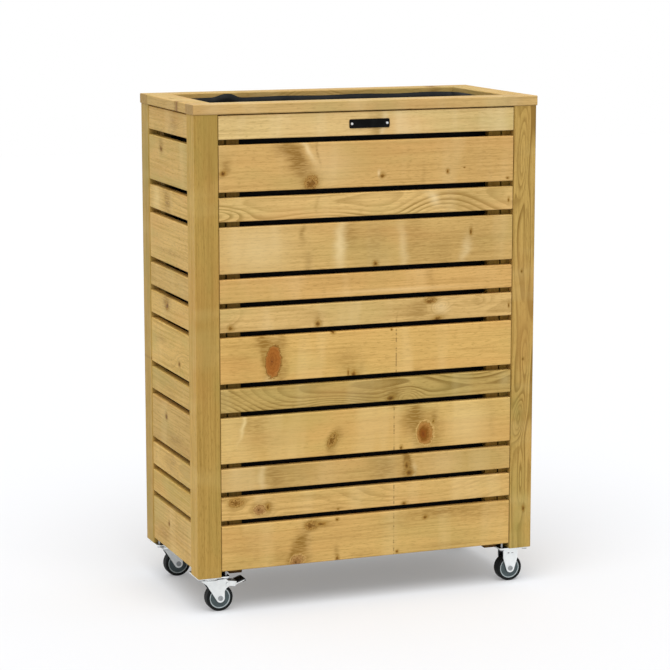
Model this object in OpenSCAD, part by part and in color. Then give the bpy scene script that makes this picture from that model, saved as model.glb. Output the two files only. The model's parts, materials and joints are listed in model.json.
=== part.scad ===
// A tall slatted wooden planter box on four casters.
// Origin: on the floor, under the centre of the box. Front faces -Y, X runs along the front.

/* [Box] */
// Width of the box over its corner posts
box_w = 700; // [600:5:900]
// Depth of the box over its corner posts
box_d = 345; // [300:5:500]
// Side of a square corner post
post_w = 47; // [42:1:60]
// Radius along the long edges of the planed boards
edge_r = 2; // [0.5:0.5:4]

/* [Slats] */
// Rows from the top down, N for a narrow slat and W for a wide one
slat_rows = "NWNWNNWNWNNW"; // [NWNWNNWNWNNW, NWNWNWNWNWNW, WNNWNWNNWNNW]
// Height of a narrow slat
narrow_h = 45; // [36:1:60]
// Height of a wide slat
wide_h = 88; // [70:1:110]
// Thickness of a slat
slat_t = 16; // [14:0.5:19]
// Open gap between two rows
slat_gap = 10.7; // [6:0.1:14]
// How far the slats lie behind the posts' outer faces
slat_recess = 1.5; // [0:0.5:3]
// Gap between a slat's end and the post
slat_end_gap = 1; // [0.5:0.5:3]
// Height of the lowest slat's edge above the foot of the posts
slat_foot = 11; // [6:1:18]
// Gap between the top slat and the rim
top_gap = 2.3; // [1:0.1:6]

/* [Frame inside] */
// Width of the batten that the slats are fixed to
batten_w = 26; // [20:1:36]
// Thickness of the batten
batten_t = 16; // [12:1:22]
// Width of the cleat on the inner side of a post
cleat_w = 18; // [14:1:24]
// Gap between the cleat and the batten
cleat_gap = 3; // [1:0.5:6]
// Height of the cleats' lower end above the foot of the posts
cleat_foot = 13; // [0:1:30]
// Height of the battens' lower end above the foot of the posts
batten_foot = 1.5; // [0:0.5:10]
// Height of a top rail
rail_h = 40; // [30:1:44]
// Width of a floor bearer
bearer_w = 27; // [20:1:40]
// Height of a floor bearer
bearer_h = 45; // [35:1:60]
// Width of a floor board
floor_board_w = 88; // [70:1:110]
// Thickness of a floor board
floor_board_t = 16; // [14:0.5:22]
// Least drainage gap between two floor boards
floor_gap = 12; // [6:1:20]
// Gap round the floor
floor_clear = 1; // [0.5:0.5:4]

/* [Rim] */
// Thickness of the rim boards
rim_t = 19; // [16:1:28]
// How far the rim covers past the posts, on the inside
rim_lap = 1.5; // [0:0.5:20]
// How far the rim stands out past the posts
rim_over = 1.5; // [0:0.5:10]

/* [Liner] */
// Thickness of the liner's fabric
liner_t = 1.5; // [1:0.1:3]
// How far the liner's edge lies below the top of the rim
liner_drop = 9.5; // [8:0.5:16]
// Deepest inward fold of the liner's walls
fold_depth = 5; // [2:0.5:12]
// Distance from one fold to the next
fold_pitch = 118; // [80:1:200]
// Rise and fall of the liner's edge
edge_wave = 0.7; // [0:0.1:2]
// Height of the hump in the liner's edge at the back
hump_h = 8; // [0:0.5:8]
// Width of the hump
hump_w = 34; // [30:1:80]
// Place of the hump along the back, from the middle
hump_x = -188; // [-260:1:260]
// Gap between the liner and the wood
liner_gap = 0.3; // [0.2:0.1:1]

/* [Nameplate] */
// Width of the plate on the top slat
tag_w = 82; // [60:1:120]
// Height of the plate
tag_h = 17; // [12:1:30]
// Thickness of the plate
tag_t = 1.5; // [1:0.5:3]
// Corner radius of the plate
tag_r = 3; // [1:0.5:6]
// Distance from the plate's end to its screw
tag_screw_in = 5; // [4:0.5:10]
// Radius of the plate's screws
tag_screw_r = 1.5; // [1:0.1:2]

/* [Casters] */
// Height from the floor to the foot of the posts
caster_h = 74; // [72:1:90]
// Distance from a plate's edge to its screw holes
hole_edge = 7; // [6.5:0.5:12]
// Thickness of the top plate
plate_t = 2.5; // [2:0.1:4]
// Distance between the plate's screw holes
hole_pitch = 50; // [46:1:60]
// Radius of the plate's screw holes
hole_r = 3.2; // [2.8:0.1:4]
// Distance from the side slats' outer face to the line of screws
screw_in_side = 7; // [5:0.5:10]
// Distance from the front slats' outer face to the line of screws
screw_in_front = 10; // [5:0.5:12]
// Thickness of the fork's steel
leg_t = 2.5; // [2:0.1:4]
// Gap between the wheel's hub and each fork leg
wheel_gap = 0.5; // [0.4:0.1:2]
// Radius of the round end of a fork leg
tip_r = 8.5; // [7:0.5:10]
// Distance from the kingpin back to the axle
trail = 18; // [14:1:20]
// Depth of the fork's crown below the top of the plate
crown_drop = 10; // [9:0.5:12]
// Radius of the fork's crown
crown_r = 19.5; // [18.5:0.5:24]
// Width of a fixed bracket's leg at the plate
fixed_leg_w = 31; // [26:1:40]

/* [Bearing] */
// Radius of the kingpin
kingpin_r = 4; // [3:0.5:6]
// Radius of a bearing ball
ball_r = 2; // [1.5:0.1:2.2]
// Radius of the ring of balls
race_r = 14; // [12:0.5:15]
// Balls in the ring
ball_n = 12; // [8:1:16]

/* [Wheel] */
// Radius of the wheel
wheel_r = 26.5; // [24:0.5:28]
// Width of the tyre
tyre_w = 21; // [16:1:24]
// Thickness of the tyre
tyre_t = 5.9; // [4:0.1:8]
// Radius of the tyre's shoulders
shoulder_r = 3; // [1:0.5:4]
// Radius of the axle bolt
axle_r = 3; // [2.5:0.5:4]
// Wall of the bush round the axle bolt
bush_wall = 1; // [0.8:0.1:2]

/* [Brake] */
// Place of the brake pin behind the kingpin
pin_x = 32.5; // [32:0.5:36]
// Height of the brake pin above the axle
pin_up = 27.5; // [27:0.5:29.5]
// Radius of the brake pin
pin_r = 2; // [1.5:0.1:2.4]
// Distance from the brake pin to the middle of the cam
cam_reach = 6; // [5:0.5:7]
// Radius of the cam's nose
cam_r = 2; // [1.5:0.5:2.5]
// Turn of the lever from free to braked, in degrees
brake_travel = 20; // [10:1:24]
// Width of the pedal's steel
pedal_w = 26; // [22:1:32]
// Length of the pedal's cap, from the bend to its end
cap_l = 15.5; // [12:0.5:24]
// Thickness of the pedal's cap over its steel
cap_t = 2.6; // [2:0.2:5]
// Slope of the pedal, in degrees
pedal_slope = 19; // [10:1:20]

/* [Hidden] */
$fn = 48;
// Running clearance of a shaft in its hole
run = 0.05;
// Gap between pieces that move past each other
slip = 0.35;
// Gap between the tyre and the core that it sits on
tyre_gap = 0.2;
bushed_r = axle_r + run + bush_wall;
lever_gap = 0.5;
rows = len(slat_rows);
left = -1;
right = 1;
front = -1;
back = 1;

function row_h(i) = slat_rows[i] == "W" ? wide_h : narrow_h;
// Height of row i's lower edge above the foot of the posts, counted up from the last row
function row_z(i) = i == rows - 1 ? slat_foot : row_z(i + 1) + row_h(i + 1) + slat_gap;

post_h = row_z(0) + row_h(0) + top_gap;
rim_z = caster_h + post_h;
slat_in = slat_recess + slat_t;       // from a post's outer face to the back of the slats
rim_in = post_w + rim_lap;            // from a post's outer face to the inside of the rim
rim_w = rim_over + rim_in;
inner_h = post_h - rail_h;            // the top of the cleats and battens, under the rails
batten_x = post_w + cleat_w + cleat_gap;
front_len = box_w - 2 * (post_w + slat_end_gap);
side_len = box_d - 2 * (post_w + slat_end_gap);
side_rail = box_d - 2 * (rim_in + slip); // a side rail ends just short of the long ones
liner_in = rim_in + liner_gap;

plate_cx = box_w / 2 - slat_recess - screw_in_side - hole_pitch / 2;
plate_cy = box_d / 2 - slat_recess - screw_in_front - hole_pitch / 2;
plate_w = hole_pitch + 2 * hole_edge;
plate_corner_r = 6;
screw_r = 2.5;
screw_head_r = 5;
screw_head_h = 3;
screw_up = slat_foot + 14;            // how far a plate screw reaches above the plate

wheel_w = tyre_w - 2.4;               // over the rim of the wheel's core
hub_w = tyre_w + 0.8;
leg_y = hub_w / 2 + wheel_gap;        // inner face of a fork leg
fork_y = leg_y + leg_t;               // outer face of a fork leg
axle_drop = caster_h - wheel_r;       // from the top of the plate down to the axle
core_r = wheel_r - tyre_t;            // where the tyre sits on the core
hub_r = bushed_r + run + 2.4;
guard_t = 1.2;
guard_y = wheel_w / 2 - guard_t - 0.3; // the guard discs sit on a ledge of the core
rivet_r = 5;                          // the axle's heads
rivet_h = 1.5;

liner_x = box_w / 2 - liner_in;
liner_y = box_d / 2 - liner_in;
liner_z = caster_h + bearer_h + floor_board_t + liner_gap;
liner_top = rim_z + rim_t - liner_drop;
liner_corner = 12;

fixed_side = right;
swivel_side = left;

// ---- shapes that repeat ----

// A flat shape with rounded corners, from the origin
module rounded(w, h, r) {
    translate([r, 0]) square([w - 2 * r, h]);
    translate([0, r]) square([w, h - 2 * r]);
    for (x = [r, w - r], y = [r, h - r]) translate([x, y]) circle(r);
}

// A planed board along X, y deep and z high
module board_x(length, y, z) {
    rotate([90, 0, 90]) linear_extrude(length) rounded(y, z, edge_r);
}

// A planed board along Y, x deep and z high
module board_y(length, x, z) {
    translate([0, length, 0]) rotate([90, 0, 0]) linear_extrude(length) rounded(x, z, edge_r);
}

// A bar in the flat from p, towards an angle
module arm(p, angle, length, width) {
    translate(p) rotate(angle) translate([0, -width / 2]) square([length, width]);
}

// Children drawn in the corner's own frame: its outer faces lie on x = 0 and y = 0, the inside is positive
module corner(sx, sy) {
    translate([sx * box_w / 2, sy * box_d / 2, caster_h]) mirror([sx > 0 ? 1 : 0, 0, 0])
        mirror([0, sy > 0 ? 1 : 0, 0]) children();
}

module corners() {
    for (sx = [left, right], sy = [front, back]) corner(sx, sy) children();
}

// Children drawn about a caster's kingpin, at the top of its plate
module caster(sx, sy) {
    translate([sx * plate_cx, sy * plate_cy, caster_h]) children();
}

module plate_holes(r) {
    for (x = [-1, 1], y = [-1, 1]) translate([x, y] * hole_pitch / 2) circle(r);
}

// The holes that the sixteen plate screws cut in the wood above them
module pilot_holes() {
    for (sx = [left, right], sy = [front, back]) caster(sx, sy)
        translate([0, 0, -plate_t]) linear_extrude(screw_up + plate_t + 1) plate_holes(screw_r + run);
}

// ---- the box ----

module post(sx, sy) {
    color([0.69, 0.57, 0.32]) difference() {
        corner(sx, sy) linear_extrude(post_h) rounded(post_w, post_w, edge_r);
        pilot_holes();
    }
}

module rim_long(sy) {
    color([0.85, 0.76, 0.55])
        translate([-box_w / 2 - rim_over, sy > 0 ? box_d / 2 - rim_in : -box_d / 2 - rim_over, rim_z])
            board_x(box_w + 2 * rim_over, rim_w, rim_t);
}

module rim_short(sx) {
    color([0.85, 0.76, 0.55])
        translate([sx > 0 ? box_w / 2 - rim_in : -box_w / 2 - rim_over, -box_d / 2 + rim_in, rim_z])
            board_y(box_d - 2 * rim_in, rim_w, rim_t);
}

module long_slat(sy, i) {
    color([0.82, 0.69, 0.43]) difference() {
        translate([-front_len / 2, sy > 0 ? box_d / 2 - slat_in : -box_d / 2 + slat_recess, caster_h + row_z(i)])
            board_x(front_len, slat_t, row_h(i));
        if (i == rows - 1) pilot_holes();
        if (i == 0 && sy == front) tag_place() tag_screws_cut();
    }
}

module back_slats() {
    for (i = [0:rows - 1]) long_slat(back, i);
}

module side_slats() {
    color([0.82, 0.69, 0.43]) for (sx = [left, right], i = [0:rows - 1]) difference() {
        translate([sx > 0 ? box_w / 2 - slat_in : -box_w / 2 + slat_recess, -side_len / 2, caster_h + row_z(i)])
            board_y(side_len, slat_t, row_h(i));
        if (i == rows - 1) pilot_holes();
    }
}

module panel_battens() {
    color([0.62, 0.52, 0.31]) corners() {
        translate([batten_x, slat_in, batten_foot]) cube([batten_w, batten_t, inner_h - batten_foot]);
        translate([slat_in, batten_x, batten_foot]) cube([batten_t, batten_w, inner_h - batten_foot]);
    }
}

module corner_cleats() {
    color([0.62, 0.52, 0.31]) corners() {
        translate([post_w, slat_in, cleat_foot]) cube([cleat_w, post_w - slat_in, inner_h - cleat_foot]);
        translate([slat_in, post_w, cleat_foot]) cube([post_w - slat_in, cleat_w, inner_h - cleat_foot]);
    }
}

module top_rails() {
    color([0.62, 0.52, 0.31]) translate([0, 0, rim_z - rail_h]) {
        for (sy = [front, back])
            translate([-box_w / 2 + post_w, sy > 0 ? box_d / 2 - rim_in : -box_d / 2 + slat_in, 0])
                cube([box_w - 2 * post_w, rim_in - slat_in, rail_h]);
        for (sx = [left, right])
            translate([sx > 0 ? box_w / 2 - rim_in : -box_w / 2 + slat_in, -side_rail / 2, 0])
                cube([rim_in - slat_in, side_rail, rail_h]);
    }
}

module floor_bearers() {
    color([0.62, 0.52, 0.31]) difference() {
        for (sy = [front, back])
            translate([-box_w / 2 + post_w, sy > 0 ? box_d / 2 - post_w - bearer_w : -box_d / 2 + post_w, caster_h])
                cube([box_w - 2 * post_w, bearer_w, bearer_h]);
        pilot_holes();
    }
}

module floor_boards() {
    span_x = box_w - 2 * (post_w + floor_clear);
    span_y = box_d - 2 * (post_w + floor_clear);
    count = floor((span_x + floor_gap) / (floor_board_w + floor_gap));
    pitch = (span_x - floor_board_w) / (count - 1);
    color([0.62, 0.52, 0.31]) for (i = [0:count - 1])
        translate([-span_x / 2 + i * pitch, -span_y / 2, caster_h + bearer_h])
            board_y(span_y, floor_board_w, floor_board_t);
}

// ---- the liner ----

// Points round the liner, anticlockwise from the front left: four sides with arcs between them
long_steps = 32;
short_steps = 8;
arc_steps = 3;
function run_points(p, q, n) = [for (i = [1:n - 1]) p + (q - p) * i / n];
function arc_points(c, r, a) =
    [for (i = [0:arc_steps]) let (t = a + 90 * i / arc_steps) c + r * [cos(t), sin(t)]];
// How far the wall leans in at a point, for a share up the wall: nothing at the floor and the edge
function fold_in(along, up) = fold_depth * sin(180 * pow(up, 1.3)) * pow(sin(180 * along / fold_pitch), 2);
function hump(x, y) = y > 0 ? exp(-pow(2 * (x - hump_x) / hump_w, 2)) : 0;
function liner_outline(inset) =
    let (x = liner_x - inset, y = liner_y - inset, r = liner_corner - inset, a = x - r, b = y - r)
    concat(
        arc_points([-a, -b], r, 180), run_points([-a, -y], [a, -y], long_steps),
        arc_points([a, -b], r, 270), run_points([x, -b], [x, b], short_steps),
        arc_points([a, b], r, 0), run_points([a, y], [-a, y], long_steps),
        arc_points([-a, b], r, 90), run_points([-x, b], [-x, -b], short_steps)
    );
// One ring of the liner's wall, pushed in by its folds, with the wavy edge at the top
function liner_ring(inset, bottom, up) =
    let (x = liner_x - inset, y = liner_y - inset)
    [for (p = liner_outline(inset))
        let (
            flat_x = abs(abs(p.x) - x) < 0.01,
            flat_y = abs(abs(p.y) - y) < 0.01,
            lean = flat_y ? fold_in(p.x, up) : flat_x ? fold_in(p.y, up) : 0,
            top = liner_top + edge_wave * sin(7 * p.x / 3 + 2 * p.y) + hump_h * hump(p.x, p.y)
        )
        [
            flat_x ? p.x - sign(p.x) * lean : p.x,
            flat_y ? p.y - sign(p.y) * lean : p.y,
            bottom + (top - bottom) * up
        ]];

module liner() {
    shares = [0, 0.3, 0.65, 1];
    last = len(shares) - 1;
    outer = [for (u = shares) each liner_ring(0, liner_z, u)];
    inner = [for (u = shares) each liner_ring(liner_t, liner_z + liner_t, u)];
    n = len(liner_outline(0));
    m = n * len(shares);
    points = concat(outer, inner, [[0, 0, liner_z], [0, 0, liner_z + liner_t]]);
    walls = [for (k = [0:last - 1], i = [0:n - 1])
        let (j = (i + 1) % n, a = k * n + i, b = k * n + j)
        each [[a, a + n, b + n], [a, b + n, b], [m + a, m + b, m + b + n], [m + a, m + b + n, m + a + n]]];
    edge = [for (i = [0:n - 1])
        let (j = (i + 1) % n, a = last * n + i, b = last * n + j) each [[a, m + a, m + b], [a, m + b, b]]];
    floors = [for (i = [0:n - 1])
        let (j = (i + 1) % n) each [[i, j, 2 * m], [m + j, m + i, 2 * m + 1]]];
    color([0.06, 0.06, 0.07]) polyhedron(points, concat(walls, edge, floors), convexity = 10);
}

// ---- the nameplate ----

module tag_place() {
    translate([0, -box_d / 2 + slat_recess, caster_h + row_z(0) + row_h(0) / 2]) rotate([90, 0, 0]) children();
}

tag_screw_len = 10;

module tag_at_screws() {
    for (x = [-1, 1]) translate([x * (tag_w / 2 - tag_screw_in), 0, 0]) children();
}

module tag_screws_cut() {
    tag_at_screws() translate([0, 0, -tag_screw_len - 1]) cylinder(r = tag_screw_r + run, h = tag_screw_len + 2);
}

module nameplate() {
    color([0.05, 0.05, 0.05]) tag_place() linear_extrude(tag_t) difference() {
        translate([-tag_w / 2, -tag_h / 2]) rounded(tag_w, tag_h, tag_r);
        tag_at_screws() circle(tag_screw_r + run);
    }
}

module nameplate_screws() {
    color([0.75, 0.75, 0.72]) tag_place() tag_at_screws() {
        translate([0, 0, -tag_screw_len]) cylinder(r = tag_screw_r, h = tag_screw_len + tag_t);
        translate([0, 0, tag_t]) cylinder(r1 = tag_screw_r + 1.2, r2 = tag_screw_r + 0.5, h = 1.1);
    }
}

// ---- caster pieces, each drawn about the kingpin at the top of the plate ----

module steel() {
    color([0.78, 0.8, 0.82]) children();
}

// The top plate's outline with its screw holes
module plate_outline() {
    difference() {
        translate([-plate_w / 2, -plate_w / 2]) rounded(plate_w, plate_w, plate_corner_r);
        plate_holes(hole_r);
    }
}

ball_z = -(plate_t + crown_drop) / 2 - 0.1;   // the balls run midway between plate and crown
race_gap = 0.6;                               // half the slit between the two races

// The flat section of a race: a ring from z0 to z1 with the groove that holds the balls
module race_section(z0, z1) {
    difference() {
        translate([race_r - ball_r - 2.3, z0]) square([2 * ball_r + 4.6, z1 - z0]);
        translate([race_r, ball_z]) circle(ball_r + slip);
    }
}

module swivel_plate() {
    steel() {
        translate([0, 0, -plate_t]) linear_extrude(plate_t) difference() {
            plate_outline();
            circle(kingpin_r + run);
        }
        rotate_extrude() race_section(ball_z + race_gap, -plate_t);
    }
}

module kingpin() {
    steel() {
        translate([0, 0, -crown_drop - leg_t - slip]) cylinder(r = kingpin_r, h = crown_drop + leg_t + slip - 0.2);
        translate([0, 0, -crown_drop - leg_t - slip - 2.8]) cylinder(r = kingpin_r + 3, h = 2.8);
        translate([0, 0, -crown_drop + slip]) cylinder(r = kingpin_r + 2.2, h = crown_drop - plate_t - slip);
    }
}

module balls() {
    color([0.7, 0.71, 0.73]) for (i = [0:ball_n - 1])
        rotate([0, 0, i * 360 / ball_n]) translate([race_r, 0, ball_z]) sphere(ball_r, $fn = 24);
}

// Where a line from p touches a circle, on the side that s picks
function tangent(p, c, r, s) =
    let (d = c - p, l = norm(d), a = atan2(d.y, d.x) + s * asin(r / l)) p + sqrt(l * l - r * r) * [cos(a), sin(a)];

// Two fork legs of a flat outline, drawn in XZ
module legs() {
    for (y = [-leg_y, fork_y]) translate([0, y, 0]) rotate([90, 0, 0]) linear_extrude(leg_t) children();
}

pin = [pin_x, pin_up - axle_drop];
hub = [trail, -axle_drop];
ear_r = pin_r + 3.5;
ear_angle = 48.5;                     // where the crown's edge runs into the ear
haunch = [-crown_r + 1, -crown_drop - 1.5];
throat = hub + [tip_r, tip_r + 5];

module fork_outline() {
    difference() {
        union() {
            translate(hub) circle(tip_r);
            translate(pin) circle(ear_r);
            polygon([
                [haunch.x, -crown_drop],
                haunch,
                haunch + [10, -9],
                tangent(haunch + [10, -9], hub, tip_r, -1),
                hub,
                hub + [tip_r, 0],
                throat,
                throat + [3, 5],
                tangent(throat + [3, 5], pin, ear_r, -1),
                pin,
                pin + ear_r * [cos(ear_angle), sin(ear_angle)],
                [pin_x - 3, -crown_drop]
            ]);
        }
        translate(hub) circle(axle_r + run);
        translate(pin) circle(pin_r + run);
    }
}

module fork() {
    steel() {
        translate([0, 0, -crown_drop - leg_t]) linear_extrude(leg_t) difference() {
            union() {
                circle(crown_r);
                translate([haunch.x, -fork_y]) square([pin_x - 3 - haunch.x, 2 * fork_y]);
            }
            circle(kingpin_r + run);
        }
        rotate_extrude() race_section(-crown_drop, ball_z - race_gap);
        legs() fork_outline();
    }
}

module bracket() {
    half = fixed_leg_w / 2;
    shoulder = [half, -axle_drop * 0.55];
    steel() {
        translate([0, 0, -plate_t]) linear_extrude(plate_t) plate_outline();
        legs() difference() {
            union() {
                translate([0, -axle_drop]) circle(tip_r);
                polygon([
                    [-half, -plate_t],
                    [-half, shoulder.y],
                    tangent([-half, shoulder.y], [0, -axle_drop], tip_r, -1),
                    [0, -axle_drop],
                    tangent(shoulder, [0, -axle_drop], tip_r, 1),
                    shoulder,
                    [half, -plate_t]
                ]);
            }
            translate([0, -axle_drop]) circle(axle_r + run);
            for (x = [-4.2, 4.2]) translate([x - 2, -axle_drop * 0.34]) square([4, 1.6]);
        }
    }
}

// A riveted pin with a dimple in each head, and the bush that the wheel turns on, along Y
module axle() {
    steel() rotate([90, 0, 0]) {
        difference() {
            union() {
                cylinder(r = axle_r, h = 2 * fork_y, center = true);
                for (y = [fork_y, -fork_y - rivet_h]) translate([0, 0, y]) cylinder(r = rivet_r, h = rivet_h);
            }
            for (y = [fork_y + rivet_h, -fork_y - rivet_h])
                translate([0, 0, y]) cylinder(r = rivet_r - 2.8, h = 1.8, center = true);
        }
        difference() {
            cylinder(r = bushed_r, h = 2 * leg_y, center = true);
            cylinder(r = axle_r + run, h = 2 * leg_y + 2, center = true);
        }
    }
}

// A rectangle of a turned section, from r0 to r1 and as wide as 2 * y
module turned(r0, r1, y) {
    translate([r0, -y]) square([r1 - r0, 2 * y]);
}

rim_wall = 1.8;
ledge_r = core_r - rim_wall;
web_t = 5;

module wheel_core() {
    color([0.62, 0.66, 0.68]) rotate([90, 0, 0]) rotate_extrude() {
        turned(bushed_r + run, hub_r, hub_w / 2);
        turned(hub_r - 0.1, ledge_r, web_t / 2);
        turned(ledge_r - 2, ledge_r + 0.1, guard_y);
        turned(ledge_r, core_r, wheel_w / 2);
    }
}

module tyre() {
    inner = core_r + tyre_gap;
    color([0.08, 0.08, 0.09]) rotate([90, 0, 0]) rotate_extrude($fn = 72) intersection() {
        turned(inner, wheel_r, tyre_w / 2);
        union() {
            turned(0, wheel_r - shoulder_r, tyre_w / 2);
            turned(0, wheel_r, tyre_w / 2 - shoulder_r);
            for (y = [-1, 1])
                translate([wheel_r - shoulder_r, y * (tyre_w / 2 - shoulder_r)]) circle(shoulder_r);
        }
    }
}

module wheel_guards() {
    color([0.27, 0.31, 0.33]) rotate([90, 0, 0]) for (y = [guard_y, -guard_y - guard_t])
        translate([0, 0, y]) linear_extrude(guard_t) difference() {
            circle(ledge_r - 0.15);
            circle(hub_r + 0.3);
        }
}

module brake_pin() {
    steel() translate([pin.x, 0, pin.y]) rotate([90, 0, 0]) {
        cylinder(r = pin_r, h = 2 * fork_y, center = true);
        for (y = [fork_y, -fork_y - 1.2]) translate([0, 0, y]) cylinder(r = pin_r + 1.4, h = 1.2);
    }
}

// The cam's angle at rest, so that after the lever's travel its nose is just clear of the tyre
pin_to_hub = hub - pin;
cam_stop = wheel_r + cam_r + slip;
cam_angle = atan2(pin_to_hub.y, pin_to_hub.x) + brake_travel
    + acos((pow(norm(pin_to_hub), 2) + pow(cam_reach, 2) - pow(cam_stop, 2)) / (2 * norm(pin_to_hub) * cam_reach));
cam = pin + cam_reach * [cos(cam_angle), sin(cam_angle)];
sheet_t = 2;
cheek_y = leg_y - lever_gap;          // outer face of the lever's cheeks
bend = pin + [19.5, -1];              // where the pedal's steel starts, behind the cheeks
cap_up = sheet_t / 2 + run;

// Extrudes a flat XZ outline to both sides of the middle
module across(w) {
    translate([0, w / 2, 0]) rotate([90, 0, 0]) linear_extrude(w) children();
}

module cheek_outline() {
    translate(pin) circle(pin_r + 2);
    polygon([
        pin + [-2, 3.4],
        pin + [3, 5.5],
        bend + [0, 3.6],
        bend + [-3, -6],
        pin + [5.5, -5],
        pin + [0, -3.9]
    ]);
}

// A channel of folded steel: two cheeks on the pin, a top, the pedal's plate and the cam between the cheeks
module brake_lever() {
    steel() difference() {
        union() {
            difference() {
                across(2 * cheek_y) cheek_outline();
                across(2 * (cheek_y - sheet_t)) union() {
                    translate(pin) square(40, center = true);
                    translate(bend) square(40, center = true);
                }
            }
            across(2 * cheek_y) {
                polygon([pin + [3, 5.5], bend + [0, 3.6], bend + [0, 3.6 - sheet_t], pin + [3, 5.5 - sheet_t]]);
                translate(bend + [-sheet_t, -3]) square([sheet_t, 6]);
                arm(pin, cam_angle, cam_reach, 2 * cam_r);
                translate(cam) circle(cam_r);
                translate(pin) circle(pin_r + 2);
            }
            across(pedal_w) arm(bend - [sheet_t, 0.7], pedal_slope, cap_l + 1 + sheet_t, sheet_t);
        }
        across(2 * cheek_y + 2) translate(pin) circle(pin_r + run);
    }
}

// The cap grips the end of the pedal's steel: a ribbed top, an end wall and a lip below
module brake_pedal() {
    end = cap_l + 1 + run;
    color([0.05, 0.05, 0.05]) across(pedal_w + 1) translate(bend) rotate(pedal_slope) {
        translate([sheet_t, cap_up]) square([end + 1 - sheet_t, cap_t - 0.7]);
        for (x = [sheet_t:2.8:cap_l - 1.4]) translate([x, cap_up]) square([1.6, cap_t]);
        translate([end, -cap_up - 1]) square([1.4, 2 * cap_up + cap_t]);
        translate([end - 5, -cap_up - 1]) square([6, 1]);
    }
}

module caster_screws() {
    color([0.75, 0.75, 0.74]) for (sx = [left, right], sy = [front, back]) caster(sx, sy)
        for (x = [-1, 1], y = [-1, 1]) translate([x, y, 0] * hole_pitch / 2) {
            translate([0, 0, -plate_t]) cylinder(r = screw_r, h = screw_up + plate_t);
            translate([0, 0, -plate_t - screw_head_h]) cylinder(r = screw_head_r, h = screw_head_h);
        }
}

// Children at the middle of a wheel
module at_wheel(sx, sy) {
    caster(sx, sy) translate([sx == swivel_side ? trail : 0, 0, -axle_drop]) children();
}

// ---- every piece, by its node ----

post(left, front);  // post_front_left
post(right, front);  // post_front_right
post(left, back);  // post_back_left
post(right, back);  // post_back_right
rim_long(front);  // rim_front
rim_long(back);  // rim_back
rim_short(left);  // rim_left
rim_short(right);  // rim_right
for (i = [0:rows - 1]) long_slat(front, i);
back_slats();
side_slats();
panel_battens();
corner_cleats();
top_rails();
floor_bearers();
floor_boards();
liner();
nameplate();
nameplate_screws();
caster_screws();
for (sy = [front, back]) caster(swivel_side, sy) kingpin();  // swivel_kingpins
for (sy = [front, back]) caster(swivel_side, sy) balls();  // swivel_balls
for (sy = [front, back]) at_wheel(fixed_side, sy) axle();  // fixed_axles
for (sy = [front, back]) {
    end = sy == front ? "front" : "back";
    caster(fixed_side, sy) bracket();
    caster(swivel_side, sy) swivel_plate();
    caster(swivel_side, sy) fork();
    at_wheel(swivel_side, sy) axle();
    caster(swivel_side, sy) brake_pin();
    caster(swivel_side, sy) brake_lever();
    caster(swivel_side, sy) brake_pedal();
    for (sx = [left, right]) {
        name = str(end, sx == left ? "_left_" : "_right_");
        at_wheel(sx, sy) wheel_core();
        at_wheel(sx, sy) tyre();
        at_wheel(sx, sy) wheel_guards();
    }
}
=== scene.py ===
import json
import math
import random

import bmesh
import bpy
from mathutils import Matrix, Vector, noise


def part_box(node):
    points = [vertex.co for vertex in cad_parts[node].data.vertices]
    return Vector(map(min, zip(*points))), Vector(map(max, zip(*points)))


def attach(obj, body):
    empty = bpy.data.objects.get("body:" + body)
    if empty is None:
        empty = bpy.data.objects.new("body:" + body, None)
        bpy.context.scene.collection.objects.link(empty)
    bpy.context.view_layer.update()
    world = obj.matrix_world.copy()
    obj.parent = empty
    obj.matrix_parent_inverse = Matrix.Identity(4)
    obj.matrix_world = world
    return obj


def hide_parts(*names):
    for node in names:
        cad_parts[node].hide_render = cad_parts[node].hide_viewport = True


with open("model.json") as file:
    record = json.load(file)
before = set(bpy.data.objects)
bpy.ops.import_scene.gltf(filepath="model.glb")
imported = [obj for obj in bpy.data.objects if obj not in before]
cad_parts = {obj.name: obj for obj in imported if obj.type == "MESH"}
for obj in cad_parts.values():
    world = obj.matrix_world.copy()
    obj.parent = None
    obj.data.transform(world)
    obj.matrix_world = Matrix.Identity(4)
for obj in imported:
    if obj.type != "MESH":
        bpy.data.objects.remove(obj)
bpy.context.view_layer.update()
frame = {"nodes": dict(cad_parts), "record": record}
print("frame loaded")


def link(thing):
    bpy.context.scene.collection.objects.link(thing)
    return thing


view = {"place": (-1.6827, -4.3936, 1.3050), "turn": (80.286, 0.023, -20.904), "lens": 128.44, "sensor": 36}

cameraData = bpy.data.cameras.new("camera")
cameraData.lens = view["lens"]
cameraData.sensor_width = view["sensor"]
camera = link(bpy.data.objects.new("camera", cameraData))
camera.location = view["place"]
camera.rotation_euler = [math.radians(a) for a in view["turn"]]
bpy.context.scene.camera = camera


def put(tree, kind, sockets=None, **settings):
    node = tree.nodes.new("ShaderNode" + kind)
    for name, value in settings.items():
        setattr(node, name, value)
    for key, value in (sockets or {}).items():
        if isinstance(value, bpy.types.NodeSocket):
            tree.links.new(value, node.inputs[key])
        else:
            node.inputs[key].default_value = value
    return node


def calc(tree, operation, a, b=0.0, c=0.0):
    return put(tree, "Math", {0: a, 1: b, 2: c}, operation=operation).outputs[0]


def plus(tree, a, b):
    return calc(tree, "ADD", a, b)


def times(tree, a, b):
    return calc(tree, "MULTIPLY", a, b)


def hypotenuse(tree, a, b):
    return calc(tree, "SQRT", plus(tree, times(tree, a, a), times(tree, b, b)))


def split(tree, vector):
    return put(tree, "SeparateXYZ", {0: vector}).outputs


def moved(tree, place, shift):
    return put(tree, "VectorMath", {0: place, 1: shift}, operation="ADD").outputs[0]


def scaled(tree, place, factors):
    return put(tree, "VectorMath", {0: place, 1: factors}, operation="MULTIPLY").outputs[0]


def measured(tree, vector):
    return put(tree, "VectorMath", {0: vector}, operation="LENGTH").outputs[1]


def attribute(tree, name, output="Vector"):
    return put(tree, "Attribute", attribute_name=name).outputs[output]


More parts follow.
